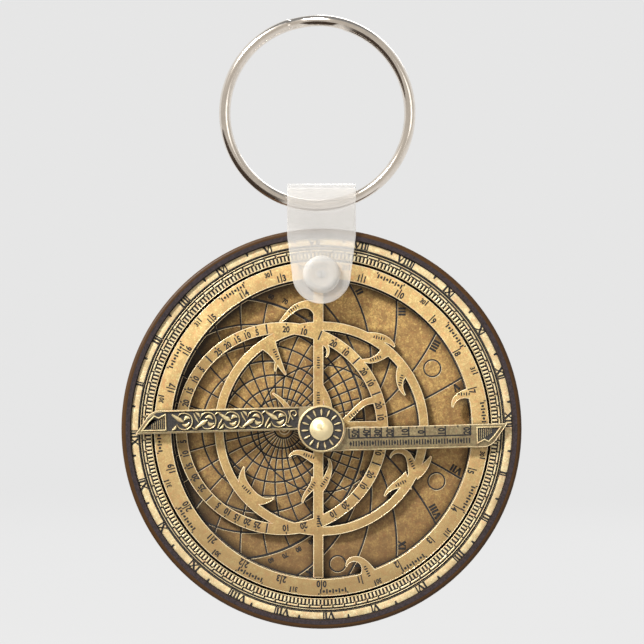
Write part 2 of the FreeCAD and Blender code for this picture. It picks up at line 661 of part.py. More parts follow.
def make_snap():
    seat = "(strap_level + strap_thickness + 0.02)"
    head = cylinder("snap_cap_head", "snap_head", seat, f"{seat} + snap_head_depth", y="snap_height")
    groove = doc.addObject("Part::Torus", "snap_cap_groove")
    bind(groove, Radius1="0.55 * snap_head", Radius2="0.3 * snap_head_depth")
    groove.setExpression(".Placement.Base.y", in_sheet("snap_height"))
    groove.setExpression(".Placement.Base.z", in_sheet(f"{seat} + snap_head_depth"))
    shank_end = f"-{seat} - 0.6 * snap_head_depth"
    shank = cylinder("snap_cap_shank", "snap_shank", shank_end, seat, y="snap_height")
    rounded = doc.addObject("Part::Fillet", "snap_cap_rounded")
    rounded.Base = head
    doc.recompute()
    top = max(range(len(head.Shape.Edges)), key=lambda n: head.Shape.Edges[n].CenterOfMass.z if
              head.Shape.Edges[n].isClosed() else -99)
    rounded.Edges = [(top + 1, 0.4 * size("snap_head_depth"), 0.4 * size("snap_head_depth"))]
    sub_part(fuse("snap_cap", cut("snap_cap_grooved", rounded, groove), shank), "snap_cap")
    socket = cylinder("snap_socket_disc", "snap_head", f"-{seat} - snap_head_depth", f"-{seat}",
                      y="snap_height")
    bore = cylinder("snap_socket_bore", "snap_shank + 0.02", f"-{seat} - 0.65 * snap_head_depth",
                    f"-{seat} + 1", y="snap_height")
    sub_part(cut("snap_socket", socket, bore), "snap_socket")


def make_split_ring():
    """Two flat coils of round wire, side by side, joined by one crossing at the top."""
    wire, gap, jog = size("ring_wire"), size("ring_coil_gap"), math.radians(size("ring_jog"))
    radius = size("ring_inner") + wire
    plane = wire + gap / 2
    end_gap = math.radians(3.0)

    def at(angle, y):
        return Vector(radius * math.cos(angle), y, radius * math.sin(angle))

    top = math.pi / 2
    starts, leaves = top + jog / 2 + end_gap, top - jog / 2 + 2 * math.pi
    front = Part.Arc(at(starts, -plane), at((starts + leaves) / 2, -plane), at(leaves, -plane)).toShape()
    enters, stops = top + jog / 2, top - jog / 2 - end_gap + 2 * math.pi
    back = Part.Arc(at(enters, plane), at((enters + stops) / 2, plane), at(stops, plane)).toShape()
    crossing = Part.BSplineCurve()
    steps = 4
    points = [at(leaves + jog * n / steps, -plane * math.cos(math.pi * n / steps)) for n in range(steps + 1)]
    ways = [Vector(-math.sin(leaves), 0, math.cos(leaves)), Vector(-math.sin(enters), 0, math.cos(enters))]
    crossing.interpolate(Points=points, InitialTangent=ways[0], FinalTangent=ways[1])
    path = Part.Wire([front, crossing.toShape(), back])
    tangent = Vector(-math.sin(starts), 0, math.cos(starts))
    section = Part.Wire(Part.Circle(at(starts, -plane), tangent, wire).toShape())
    coil = doc.addObject("Part::Feature", "split_ring")
    coil.Label = "split_ring"
    coil.Shape = path.makePipeShell([section], True, False)
    coil.Placement = Placement(Vector(size("ring_side"), 0, -size("ring_inner")), Rotation())
    SUB_PARTS.append(coil)
    swept = math.pi * wire**2 * path.Length
    print(f"split ring: volume {coil.Shape.Volume:.2f}, section times length {swept:.2f}")


def write_parts():
    doc.recompute()
    failed = [o.Name for o in doc.Objects if {"Invalid", "Error"} & set(o.State)]
    if failed:
        raise RuntimeError(f"objects that failed to compute: {failed}")
    os.makedirs("parts", exist_ok=True)
    for old in os.listdir("parts"):
        os.remove(os.path.join("parts", old))
    for piece in SUB_PARTS:
        shape = piece.Shape
        if shape.isNull() or not shape.isValid() or not shape.Solids:
            raise RuntimeError(f"{piece.Label} has no valid solid")
        shape.exportStep(os.path.join("parts", f"{piece.Label}.step"))
        box = shape.BoundBox
        print(f"{piece.Label}: {len(shape.Solids)} solid, {shape.Volume:.2f} mm3, "
              f"x {box.XMin:.2f}..{box.XMax:.2f}, y {box.YMin:.2f}..{box.YMax:.2f}, "
              f"z {box.ZMin:.2f}..{box.ZMax:.2f}")


make_bezel()
make_mater()
make_limb()
make_limb_rivets()
make_plates()
make_calendar_ring()
make_rete()
make_rule()
make_pin()
make_collars()
make_horse()
make_alidade()
for name, side in SIDES.items():
    make_vane(name, side)
make_strap()
make_snap()
make_split_ring()
write_parts()
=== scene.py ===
"""The looks of the pocket astrolabe on its key ring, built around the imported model.

Disc frame: u to the right, v up and w out of the front of the disc, in mm, from the middle of
the disc. ROW_AXES turns it into the row frame, in metres. Pieces on the back are drawn in the
same frame turned round the disc's upright line, so that they read the right way from behind.
"""
import math
from functools import cache
from itertools import groupby

import bmesh
import bpy
from mathutils import Matrix, Vector


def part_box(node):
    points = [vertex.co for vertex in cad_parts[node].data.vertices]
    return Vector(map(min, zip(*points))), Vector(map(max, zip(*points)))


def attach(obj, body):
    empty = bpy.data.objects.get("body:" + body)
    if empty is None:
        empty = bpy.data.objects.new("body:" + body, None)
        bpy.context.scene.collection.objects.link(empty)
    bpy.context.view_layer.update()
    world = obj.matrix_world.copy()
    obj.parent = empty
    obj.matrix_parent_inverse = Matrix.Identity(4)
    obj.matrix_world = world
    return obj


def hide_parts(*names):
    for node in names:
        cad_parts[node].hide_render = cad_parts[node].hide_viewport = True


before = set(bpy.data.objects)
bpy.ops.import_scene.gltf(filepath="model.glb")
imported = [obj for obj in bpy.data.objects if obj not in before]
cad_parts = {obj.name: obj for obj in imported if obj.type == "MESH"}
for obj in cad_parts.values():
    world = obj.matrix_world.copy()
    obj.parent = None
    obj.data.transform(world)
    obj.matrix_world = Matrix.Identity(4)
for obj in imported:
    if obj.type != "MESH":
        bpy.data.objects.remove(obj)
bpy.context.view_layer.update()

MM = 0.001
bezel_low, bezel_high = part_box("bezel")
CENTRE = (bezel_low + bezel_high) / 2
ROW_AXES = Matrix.Translation(CENTRE) @ Matrix.Rotation(math.pi / 2, 4, "X") @ Matrix.Scale(MM, 4)


def front(node):
    """The front level of a CAD node, in the disc frame."""
    return -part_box(node)[0].y / MM


def back(node):
    """The back level of a CAD node, in the frame that is turned round to the back."""
    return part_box(node)[1].y / MM


def half_width(node):
    low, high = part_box(node)
    return (high.x - low.x) / 2 / MM


# Radii that the engraving follows.
PIN_TO_RIM = half_width("bezel")
LIMB_OUTER = half_width("hour_ring")
HOUR_INNER = 26.02
BAND_OUTER = half_width("calendar_ring")
BAND_INNER = 21.5
RULE_TURN = 1.6
HOUR_TURN = 0.7

# The plate is a stereographic map of the sky for one latitude, its zenith to the left.
EQUATOR = 13.82
OBLIQUITY = math.radians(23.44)
LATITUDE = math.radians(48.0)


def tropic(declination):
    return EQUATOR * math.tan((math.pi / 2 - declination) / 2)


CAPRICORN = tropic(-OBLIQUITY)
CANCER = tropic(OBLIQUITY)

# ---- materials ----


def new_material(name):
    material = bpy.data.materials.new(name)
    material.use_nodes = True
    tree = material.node_tree
    return material, tree, tree.nodes["Principled BSDF"]


def link(tree, source, target):
    tree.links.new(source, target)


def settle(node, values):
    """Sets a node's sockets by name."""
    for name, value in values.items():
        node.inputs[name].default_value = value


def position(tree):
    """The place of a point of the surface, in metres."""
    return tree.nodes.new("ShaderNodeTexCoord").outputs["Object"]


def position_along(tree, axis):
    node = tree.nodes.new("ShaderNodeSeparateXYZ")
    link(tree, position(tree), node.inputs["Vector"])
    return node.outputs[axis]


def noise(tree, scale, detail=4.0, roughness=0.6):
    node = tree.nodes.new("ShaderNodeTexNoise")
    settle(node, {"Scale": scale, "Detail": detail, "Roughness": roughness})
    link(tree, position(tree), node.inputs["Vector"])
    return node.outputs["Fac"]


def spread(tree, value, low, high, new_low=0.0, new_high=1.0):
    """Stretches the values between low and high over the new range."""
    node = tree.nodes.new("ShaderNodeMapRange")
    settle(node, {"From Min": low, "From Max": high, "To Min": new_low, "To Max": new_high})
    link(tree, value, node.inputs["Value"])
    return node.outputs["Result"]


def mix(tree, factor, first, second):
    """Blends two colours, each a socket or a tuple. Factor is the share of the second."""
    node = tree.nodes.new("ShaderNodeMix")
    node.data_type = "RGBA"
    for name, value in (("Factor", factor), ("A", first), ("B", second)):
        socket = node.inputs[name]
        if isinstance(value, bpy.types.NodeSocket):
            link(tree, value, socket)
        elif isinstance(value, tuple):
            socket.default_value = (*value, 1.0)
        else:
            socket.default_value = value
    return node.outputs["Result"]


def crevices(tree, reach):
    """1 on open ground, falling to 0 in corners nearer than reach millimetres."""
    node = tree.nodes.new("ShaderNodeAmbientOcclusion")
    node.samples = 8
    node.inputs["Distance"].default_value = reach * MM
    return node.outputs["AO"]


def bump(tree, shader, height, strength, depth):
    node = tree.nodes.new("ShaderNodeBump")
    settle(node, {"Strength": strength, "Distance": depth * MM})
    link(tree, height, node.inputs["Height"])
    link(tree, node.outputs["Normal"], shader.inputs["Normal"])


def tinted(tree, shader, scale, detail, dark, light, low=0.35, roughness=0.6):
    """Colours a shader with clouds between two shades and returns the clouds."""
    clouds = spread(tree, noise(tree, scale, detail, roughness), low, 0.7)
    link(tree, mix(tree, clouds, dark, light), shader.inputs["Base Color"])
    return clouds


def times(factor, colour):
    return tuple(min(1.0, factor * c) for c in colour)


def beyond(tree, spot, near, far):
    """0 within near millimetres of a spot on the disc's face, rising to 1 at far."""
    flat = tree.nodes.new("ShaderNodeVectorMath")
    flat.operation = "MULTIPLY"
    flat.inputs[1].default_value = (1, 0, 1)
    link(tree, position(tree), flat.inputs[0])
    apart = tree.nodes.new("ShaderNodeVectorMath")
    apart.operation = "DISTANCE"
    apart.inputs[1].default_value = (spot[0] * MM, 0, CENTRE.z + spot[1] * MM)
    link(tree, flat.outputs["Vector"], apart.inputs[0])
    return spread(tree, apart.outputs["Value"], near * MM, far * MM)


def aged_brass(name, bright, dull, roughness=0.42, grime_and_shade=0.9, reach=1.2, metallic=0.5, shaded=None,
               painted_shadow=None):
    """Brass with a mottled patina, a fine cast grain, and grime with painted shade in its corners.

    Shaded is the colour it turns to low on the disc, a painted shade. The painted shadow is a spot on
    the face, the two distances from it between which the metal is painted dark as a cast shadow, and how
    dark it gets.
    """
    material, tree, shader = new_material(name)
    blotches = spread(tree, noise(tree, 620.0, 5.0, 0.7), 0.38, 0.62)
    colour = mix(tree, blotches, dull, bright)
    copper = spread(tree, noise(tree, 1500.0, 4.0, 0.7), 0.5, 0.66, 0.0, 0.6)
    colour = mix(tree, copper, colour, (1.3 * dull[0], 0.8 * dull[1], 0.85 * dull[2]))
    clouds = spread(tree, noise(tree, 170.0, 2.0, 0.5), 0.5, 0.72, 0.0, 0.5)
    colour = mix(tree, clouds, colour, (0.62 * dull[0], 0.45 * dull[1], 0.5 * dull[2]))
    speckle = spread(tree, noise(tree, 3600.0, 4.0, 0.8), 0.38, 0.62)
    colour = mix(tree, speckle, mix(tree, 0.85, colour, times(0.8, dull)), colour)
    sparks = spread(tree, noise(tree, 2300.0, 3.0, 0.7), 0.56, 0.68, 0.0, 0.5)
    colour = mix(tree, sparks, colour, times(1.35, bright))
    # painted shade: the metal turns darker towards the bottom of the disc
    if shaded:
        low, high = CENTRE.z - CAPRICORN * MM, CENTRE.z + 0.55 * CAPRICORN * MM
        height = spread(tree, position_along(tree, "Z"), low, high)
        colour = mix(tree, height, mix(tree, 0.75, colour, shaded), colour)
    # painted shadow: the metal is painted dark beyond a distance from a spot, where the rings cast shadow
    if painted_shadow:
        spot, near, far, depth = painted_shadow
        shadow_colour = mix(tree, depth, colour, times(1 - depth, dull))
        colour = mix(tree, beyond(tree, spot, near, far), colour, shadow_colour)
    # painted shade: the colour falls to near black in corners, where shade falls, along with grime
    grime_and_shade_mask = spread(tree, crevices(tree, reach), 0.4, 0.92, 1.0 - grime_and_shade, 1.0)
    colour = mix(tree, grime_and_shade_mask, (0.012, 0.010, 0.009), colour)
    link(tree, colour, shader.inputs["Base Color"])
    rough = spread(tree, speckle, 0.0, 1.0, roughness + 0.14, roughness - 0.06)
    link(tree, rough, shader.inputs["Roughness"])
    settle(shader, {"Metallic": metallic})
    bump(tree, shader, noise(tree, 6500.0, 3.0, 0.65), 0.6, 0.016)
    return material


def plain_metal(name, colour, roughness, fine_scratches=0.25):
    """Polished metal with a little handling wear in its gloss."""
    material, tree, shader = new_material(name)
    smear = tinted(tree, shader, 900.0, 4.0, times(0.86, colour), colour)
    link(tree, spread(tree, smear, 0.0, 1.0, roughness + 0.06, roughness), shader.inputs["Roughness"])
    settle(shader, {"Metallic": 1.0})
    bump(tree, shader, noise(tree, 2600.0, 2.0), fine_scratches, 0.004)
    return material


def turned_metal(name, colour, roughness):
    """Metal faced on a lathe: its fine rings round the disc's axis spread the light into fans."""
    material, tree, shader = new_material(name)
    tinted(tree, shader, 900.0, 4.0, times(0.86, colour), colour)
    settle(shader, {"Metallic": 0.5, "Roughness": roughness, "Anisotropic": 0.85})
    round_axis = tree.nodes.new("ShaderNodeTangent")
    round_axis.direction_type = "RADIAL"
    round_axis.axis = "Y"
    link(tree, round_axis.outputs["Tangent"], shader.inputs["Tangent"])
    return material


def patina(name="patina", colour=(0.018, 0.017, 0.018)):
    """The black that fills engraving and sunk grounds. It is also painted as shade on the bezel's broken
    edges and inner lip.
    """
    material, tree, shader = new_material(name)
    grain = tinted(tree, shader, 3800.0, 4.0, times(0.5, colour), times(1.9, colour), roughness=0.7)
    settle(shader, {"Roughness": 0.62, "Metallic": 0.3})
    bump(tree, shader, grain, 0.5, 0.01)
    return material


def enamel():
    """The bezel's dark brown lacquer."""
    material, tree, shader = new_material("brown_lacquer")
    tinted(tree, shader, 260.0, 3.0, (0.048, 0.020, 0.004), (0.062, 0.027, 0.006), 0.3)
    settle(shader, {"Roughness": 0.5, "Specular IOR Level": 0.25})
    bump(tree, shader, noise(tree, 1500.0, 2.0), 0.12, 0.01)
    return material


def vinyl(name, colour, opacity, roughness, ripple=0.10, fold=None):
    """Translucent white plastic: it veils what lies behind it and still shines on its face.

    Ripple is how uneven its face is, and fold is the darker colour painted above the disc, where
    the strap is bent double: a painted shade.
    """
    material, tree, shader = new_material(name)
    haze = spread(tree, noise(tree, 210.0, 3.0), 0.3, 0.7)
    tint = mix(tree, haze, times(0.97, colour), colour)
    # painted shade: darker above the disc, where the strap's two layers lie over each other
    if fold:
        rim = CENTRE.z + PIN_TO_RIM * MM
        tint = mix(tree, spread(tree, position_along(tree, "Z"), rim - 1.5 * MM, rim), tint, fold)
    link(tree, tint, shader.inputs["Base Color"])
    link(tree, spread(tree, haze, 0.0, 1.0, opacity - 0.02, opacity + 0.02), shader.inputs["Alpha"])
    settle(shader, {"Roughness": roughness, "IOR": 1.46, "Coat Weight": 0.4, "Coat Roughness": 0.12})
    settle(shader, {"Subsurface Weight": 0.25, "Subsurface Radius": (2 * MM, 2 * MM, 2 * MM)})
    settle(shader, {"Subsurface Scale": 1.0})
    bump(tree, shader, noise(tree, 420.0, 3.0), ripple, 0.05)
    return material


LIMB = aged_brass("limb_brass", (1.0, 0.86, 0.50), (0.68, 0.53, 0.28), grime_and_shade=0.6, reach=0.4, metallic=0.25)
BAND = aged_brass("band_brass", (1.0, 0.75, 0.34), (0.70, 0.48, 0.20), reach=0.8, shaded=(0.30, 0.20, 0.09))
# the plate and rete carry painted shade low on the disc and a painted shadow near the rim
PLATE = aged_brass("plate_brass", (0.82, 0.55, 0.19), (0.35, 0.21, 0.08), 0.48, grime_and_shade=1.0, reach=2.0,
                   shaded=(0.15, 0.085, 0.04), painted_shadow=((1.7, -0.9), 19.9, 22.6, 0.95))
RETE = aged_brass("rete_brass", (0.93, 0.67, 0.28), (0.54, 0.36, 0.14), grime_and_shade=0.8, reach=0.9,
                  shaded=(0.34, 0.22, 0.10), painted_shadow=((2.2, 1.2), 18.5, 22.5, 0.7))
SCALE = aged_brass("scale_brass", (1.0, 0.88, 0.56), (0.68, 0.54, 0.28), reach=0.3, metallic=0.25)
# lighter brass for broken edges and edge beads: handling wear, with a painted highlight
EDGE = aged_brass("worn_and_painted_highlight_edge", (1.0, 0.90, 0.62), (0.88, 0.72, 0.42), 0.3, 0.2, 0.3, 0.25)
RULE = aged_brass("rule_brass", (0.42, 0.34, 0.18), (0.24, 0.19, 0.105), grime_and_shade=0.8, reach=0.6)
ORNAMENT = aged_brass("ornament_brass", (0.90, 0.77, 0.45), (0.60, 0.48, 0.25), 0.34, 0.6, 0.35, 0.35)
BACK = aged_brass("back_brass", (0.60, 0.43, 0.17), (0.33, 0.22, 0.08))
BLACK = patina()
# the black of the ring on the bezel's inner lip, a painted shade
PAINTED_LIP_SHADE = patina("painted_lip_shade", (0.028, 0.019, 0.022))
GROUND = patina("sunk_ground", (0.034, 0.031, 0.030))
POLISHED = plain_metal("polished_brass", (1.0, 0.82, 0.46), 0.3)
DOME = turned_metal("turned_brass", (1.0, 0.84, 0.50), 0.36)
NICKEL = plain_metal("nickel", (0.94, 0.87, 0.79), 0.13, 0.15)
LACQUER = enamel()
STRAP = vinyl("strap_vinyl", (0.88, 0.87, 0.85), 0.31, 0.28, ripple=0.18, fold=(0.65, 0.64, 0.62))
SNAP = vinyl("snap_vinyl", (0.66, 0.655, 0.64), 0.42, 0.6)

# ---- drawing ----


def smooth_by_angle(mesh, degrees=32.0):
    mesh.polygons.foreach_set("use_smooth", [True] * len(mesh.polygons))
    mesh.set_sharp_from_angle(angle=math.radians(degrees))


def closed_mesh(name, corners, faces, degrees=32.0):
    """A mesh whose faces look outwards, smooth but for edges sharper than an angle."""
    mesh = bpy.data.meshes.new(name)
    mesh.from_pydata(corners, [], faces)
    work = bmesh.new()
    work.from_mesh(mesh)
    bmesh.ops.recalc_face_normals(work, faces=work.faces)
    work.to_mesh(mesh)
    work.free()
    smooth_by_angle(mesh, degrees)
    return mesh


def finish_piece(name, mesh, body, materials, marks, stands_for=()):
    """Makes a mesh a piece of a body. Each face's mark says which of the materials it has."""
    piece = bpy.data.objects.new(name, mesh)
    bpy.context.scene.collection.objects.link(piece)
    mesh.materials.clear()
    for material in materials:
        mesh.materials.append(material)
    for polygon, mark in zip(mesh.polygons, marks):
        polygon.material_index = mark
    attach(piece, body)
    if stands_for:
        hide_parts(*stands_for)


SINK = 0.03  # how far a line's foot is buried in the metal
INK = 0.02  # how far a blackened line stands above it
GLINT = 0.01  # the same for the painted highlight beside it


def skin(count, size, closed):
    """The faces of a sweep: count rings of size points, joined into a loop or capped at both ends."""
    faces = []
    for n in range(count if closed else count - 1):
        here, there = n * size, (n + 1) % count * size
        faces += [(here + k, here + (k + 1) % size, there + (k + 1) % size, there + k) for k in range(size)]
    if not closed:
        faces.append(tuple(range(size)))
        faces.append(tuple((count - 1) * size + k for k in reversed(range(size))))
    return faces


def flat_line(level, rise):
    """The section of a line with a flat back that stands above the metal at level."""
    return [(-1, level - SINK), (-1, level + rise), (1, level + rise), (1, level - SINK)]


class Relief:
    """Closed strips, blocks and turned forms in the disc's frame, gathered into one piece."""

    def __init__(self, turn=0.0, side=1):
        self.turn = Matrix.Rotation(math.radians(turn), 3, "Z")
        self.side = side
        self.corners = []
        self.faces = []
        self.marks = []

    def add(self, points, faces, mark=0):
        start = len(self.corners)
        for point in points:
            spot = self.turn @ Vector(point)
            self.corners.append(ROW_AXES @ Vector((spot.x * self.side, spot.y, spot.z * self.side)))
        self.faces += [[start + corner for corner in face] for face in faces]
        self.marks += [mark] * len(faces)

    def sweep(self, path, width, section, mark=0, closed=False):
        """Carries a closed section of (side, level) points along a path. Side runs from -1 to 1 across
        the width, which is one number or a list with a number for each point of the path.
        """
        count, size = len(path), len(section)
        widths = width if isinstance(width, (list, tuple)) else [width] * count
        points = []
        for n, spot in enumerate(path):
            arriving = Vector(spot) - Vector(path[n - 1]) if closed or n else None
            leaving = Vector(path[(n + 1) % count]) - Vector(spot) if closed or n < count - 1 else arriving
            arriving = (arriving or leaving).normalized()
            leaving = leaving.normalized()
            along = (arriving + leaving).normalized()
            across = Vector((-along.y, along.x)) / max(0.4, along.dot(leaving))
            for side, level in section:
                edge = Vector(spot) + across * side * widths[n] / 2
                points.append((edge.x, edge.y, level))
        self.add(points, skin(count, size, closed), mark)

    def lathe(self, section, centre=(0.0, 0.0)):
        """Turns a closed section of (radius, level) points round an upright line."""
        steps = 72
        points = []
        for n in range(steps):
            points += [(*polar(r, 360 * n / steps, centre), w) for r, w in section]
        self.add(points, skin(steps, len(section), True))

    def patch(self, outline, level, rise, mark=0):
        """A flat shape that stands above the metal at level."""
        count = len(outline)
        points = [(u, v, w) for w in (level - SINK, level + rise) for u, v in outline]
        faces = [(n, (n + 1) % count, count + (n + 1) % count, count + n) for n in range(count)]
        faces += [tuple(reversed(range(count))), tuple(range(count, 2 * count))]
        self.add(points, faces, mark)

    def ink(self, path, width, level, closed=False, mark=0):
        """A blackened line that stands a hair above the metal, so that it covers it cleanly."""
        self.sweep(path, width, flat_line(level, INK), mark, closed)

    def bead(self, path, width, low, high, closed=False, mark=0):
        """A raised line with a rounded back."""
        flank, crown = low + 0.55 * (high - low), low + 0.9 * (high - low)
        section = [(-1, low - SINK), (-1, low), (-0.8, flank), (-0.42, crown), (0, high), (0.42, crown),
                   (0.8, flank), (1, low), (1, low - SINK)]
        self.sweep(path, width, section, mark, closed)

    def tapered(self, points, low, high, mark=0, steps=7):
        """A bead whose line runs smoothly through given points of (u, v, width)."""
        line = curve(points, steps)
        self.bead([(p.x, p.y) for p in line], [p.z for p in line], low, high, mark=mark)

    def build(self, name, body, materials, stands_for=()):
        mesh = closed_mesh(name, self.corners, self.faces)
        finish_piece(name, mesh, body, materials, self.marks, stands_for)


def polar(radius, degrees, centre=(0.0, 0.0)):
    """The point at a distance and in a direction from a centre."""
    angle = math.radians(degrees)
    return (centre[0] + radius * math.cos(angle), centre[1] + radius * math.sin(angle))


def spoke(start, stop, degrees, centre=(0.0, 0.0)):
    """A line in one direction, from one radius to another."""
    return [polar(start, degrees, centre), polar(stop, degrees, centre)]


def arc(radius, start, stop, centre=(0.0, 0.0), step=0.3):
    count = max(3, int(abs(math.radians(stop - start)) * radius / step) + 2)
    return [polar(radius, start + (stop - start) * n / (count - 1), centre) for n in range(count)]


def circle(radius, centre=(0.0, 0.0), step=0.3):
    return arc(radius, 0, 360, centre, step)[:-1]


def curve(points, steps):
    """A smooth line through points of any dimension."""
    knots = [Vector(p) for p in points]
    knots = [2 * knots[0] - knots[1], *knots, 2 * knots[-1] - knots[-2]]
    line = []
    for a, b, c, d in zip(knots, knots[1:], knots[2:], knots[3:]):
        for n in range(steps):
            x = n / steps
            line.append(0.5 * (2 * b + (c - a) * x + (2 * a - 5 * b + 4 * c - d) * x * x
                               + (3 * b - a - 3 * c + d) * x ** 3))
    line.append(knots[-2])
    return line


def runs(path, keep):
    """The stretches of a path whose points pass keep."""
    stretches = [list(points) for kept, points in groupby(path, keep) if kept]
    return [stretch for stretch in stretches if len(stretch) > 1]


def engrave(relief, path, level, width=0.2, closed=False):
    """A blackened line, mark 0, with a painted highlight along its lower lip, mark 1."""
    relief.ink(path, width, level, closed)
    # the lip is a lighter strip offset down and right: a painted highlight on the groove's lit wall
    lip = [(u + 0.045, v - 0.06) for u, v in path]
    relief.sweep(lip, width, flat_line(level, GLINT), 1, closed)


# ---- numbers ----


@cache
def glyph_mesh(text):
    """A word in the built-in typeface, centred, as tall as one unit and one unit thick."""
    word = bpy.data.curves.new("word", "FONT")
    word.body = text
    word.align_x = "CENTER"
    word.size = 1.38  # makes its digits one unit tall
    word.extrude = 0.5
    word.offset = 0.045  # a little bolder than the typeface
    word.resolution_u = 3
    carrier = bpy.data.objects.new("word", word)
    bpy.context.scene.collection.objects.link(carrier)
    mesh = bpy.data.meshes.new_from_object(carrier.evaluated_get(bpy.context.evaluated_depsgraph_get()))
    work = bmesh.new()
    work.from_mesh(mesh)
    bmesh.ops.remove_doubles(work, verts=work.verts, dist=1e-4)
    work.to_mesh(mesh)
    work.free()
    points = [v.co.copy() for v in mesh.vertices]
    faces = [tuple(p.vertices) for p in mesh.polygons]
    bpy.data.objects.remove(carrier)
    bpy.data.curves.remove(word)
    bpy.data.meshes.remove(mesh)
    return points, faces


NARROW = 0.82  # the letters' width, next to the typeface's own


def number(relief, text, spot, height, upright, level, mark=0):
    """Writes a number at spot, the top of its letters pointing in the direction upright, in degrees."""
    points, faces = glyph_mesh(text)
    up = Vector(polar(1.0, upright))
    right = Vector((up.y, -up.x))
    placed = []
    for p in points:
        flat = Vector(spot) + right * p.x * height * NARROW + up * (p.y - 0.5) * height
        placed.append((flat.x, flat.y, level + INK if p.z > 0 else level - SINK))
    relief.add(placed, faces, mark)


ROMAN = {  # each letter's width, and its strokes from end to end with their thickness
    "I": (0.42, [((0.21, 0), (0.21, 1), 0.29)]),
    "V": (0.86, [((0.12, 1), (0.44, 0), 0.32), ((0.76, 1), (0.44, 0), 0.18)]),
    "X": (0.86, [((0.12, 1), (0.76, 0), 0.32), ((0.76, 1), (0.12, 0), 0.18)]),
}


def roman(relief, text, spot, height, upright, level, stretch=1.0, serif=0.34):
    """Writes a Roman numeral in upright strokes with short feet. Spot is the middle of its foot line."""
    up = Vector(polar(1.0, upright))
    right = Vector((up.y, -up.x))
    pen = -sum(ROMAN[letter][0] for letter in text) / 2

    def at(x, y):
        flat = Vector(spot) + (right * (pen + x) * stretch + up * y) * height
        return (flat.x, flat.y)

    for letter in text:
        advance, strokes = ROMAN[letter]
        for (x0, y0), (x1, y1), weight in strokes:
            relief.ink([at(x0, y0), at(x1, y1)], weight * height, level)
            for x, y in ((x0, y0), (x1, y1)):
                if letter == "V" and y == 0:  # its point has no foot
                    continue
                lift = 0.035 if y == 0 else -0.035
                relief.ink([at(x - serif / 2, y + lift), at(x + serif / 2, y + lift)], 0.1 * height, level)
        pen += advance


# ---- finishing CAD shapes ----


def clean_copy(node):
    """A CAD node's shape to work on, its seams closed and each flat face in one piece."""
    work = bmesh.new()
    work.from_mesh(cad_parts[node].data)
    bmesh.ops.remove_doubles(work, verts=work.verts, dist=1e-7)
    bmesh.ops.dissolve_limit(work, angle_limit=math.radians(0.5), verts=work.verts, edges=work.edges)
    return work


def is_sharp(edge):
    return len(edge.link_faces) == 2 and edge.calc_face_angle(0.0) > math.radians(42)


def softened(node, body, material, edge, width, segments=2):
    """The CAD node's shape with its edges broken, the broken edges in the edge's material."""
    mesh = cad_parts[node].data.copy()
    work = clean_copy(node)
    for face in work.faces:
        face.material_index = 0
    sharp = [edge for edge in work.edges if is_sharp(edge)]
    made = bmesh.ops.bevel(work, geom=sharp, offset=width * MM, segments=segments, profile=0.55,
                           affect="EDGES", clamp_overlap=True, material=-1)
    for face in made["faces"]:
        face.material_index = 1
    work.to_mesh(mesh)
    work.free()
    smooth_by_angle(mesh)
    marks = [polygon.material_index for polygon in mesh.polygons]
    finish_piece(f"{node}_finished", mesh, body, [material, edge], marks, (node,))


def front_outlines(node, level):
    """The closed outlines of a CAD node's flat face at a level, in the disc frame."""
    to_disc = ROW_AXES.inverted()
    work = clean_copy(node)
    spots = {v: to_disc @ v.co for v in work.verts}
    rim = [e for e in work.edges if is_sharp(e) and all(abs(spots[v].z - level) < 0.01 for v in e.verts)]
    outlines = []
    while rim:
        first, corner = rim.pop(0).verts
        line = [first]
        while corner is not first:
            line.append(corner)
            edge = next((e for e in corner.link_edges if e in rim), None)
            if edge is None:
                break
            rim.remove(edge)
            corner = edge.other_vert(corner)
        if corner is first:
            outlines.append([(spots[v].x, spots[v].y) for v in line])
    work.free()
    return outlines


def worn_edges(node, body, level, width=0.13):
    """The bright line along a piece's front edges: handling wear, with a painted highlight."""
    line = Relief()
    for outline in front_outlines(node, level):
        line.bead(outline, width, level - 0.05, level + 0.012, closed=True)
    line.build(f"{node}_worn_edges", body, [EDGE])


def repaint(node, material):
    """Gives a CAD node that is shown as it is a material of its own."""
    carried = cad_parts[node]
    if not carried.material_slots:
        carried.data.materials.append(material)
    for slot in carried.material_slots:
        slot.material = material


# ---- the limb: hour ring and degree ring ----

HOURS = ("I", "II", "III", "IV", "V", "VI", "VII", "VIII", "IX", "X", "XI", "XII")


def hour_ring():
    softened("hour_ring", "disc", LIMB, EDGE, 0.06)
    level = front("hour_ring")
    lines = Relief()
    letter = 0.9  # the numerals' height
    stretch = 1.26  # how much they are widened
    foot = HOUR_INNER + 0.17
    for hour in range(24):
        angle = 165 + HOUR_TURN - 15 * hour  # hour I stands on the left and the hours run clockwise
        engrave(lines, spoke(HOUR_INNER + 0.03, LIMB_OUTER - 0.03, angle), level, 0.2)
        text = HOURS[hour % 12]
        half = sum(ROMAN[c][0] for c in text) * letter * stretch / 2
        before = angle + math.degrees((half + 0.1) / (foot + 0.4))
        roman(lines, text, polar(foot, before), letter, before, level, stretch)
        half_past = spoke(LIMB_OUTER - 0.04, LIMB_OUTER - 0.52, angle - 7.5)
        lines.ink(half_past, [0.38, 0.2], level)
    lines.ink(circle(LIMB_OUTER - 0.03), 0.12, level, closed=True)
    lines.ink(circle(HOUR_INNER + 0.06), 0.12, level, closed=True)
    lines.build("hour_engraving", "disc", [BLACK, EDGE])
    # a black ring on the bezel's inner lip: painted shade of the gap beside the hour ring
    lip_shade_ring = Relief()
    lip_shade_ring.ink(circle(PIN_TO_RIM - 0.92), 0.6, front("bezel"), closed=True)
    lip_shade_ring.build("bezel_lip_shade_ring", "disc", [PAINTED_LIP_SHADE])


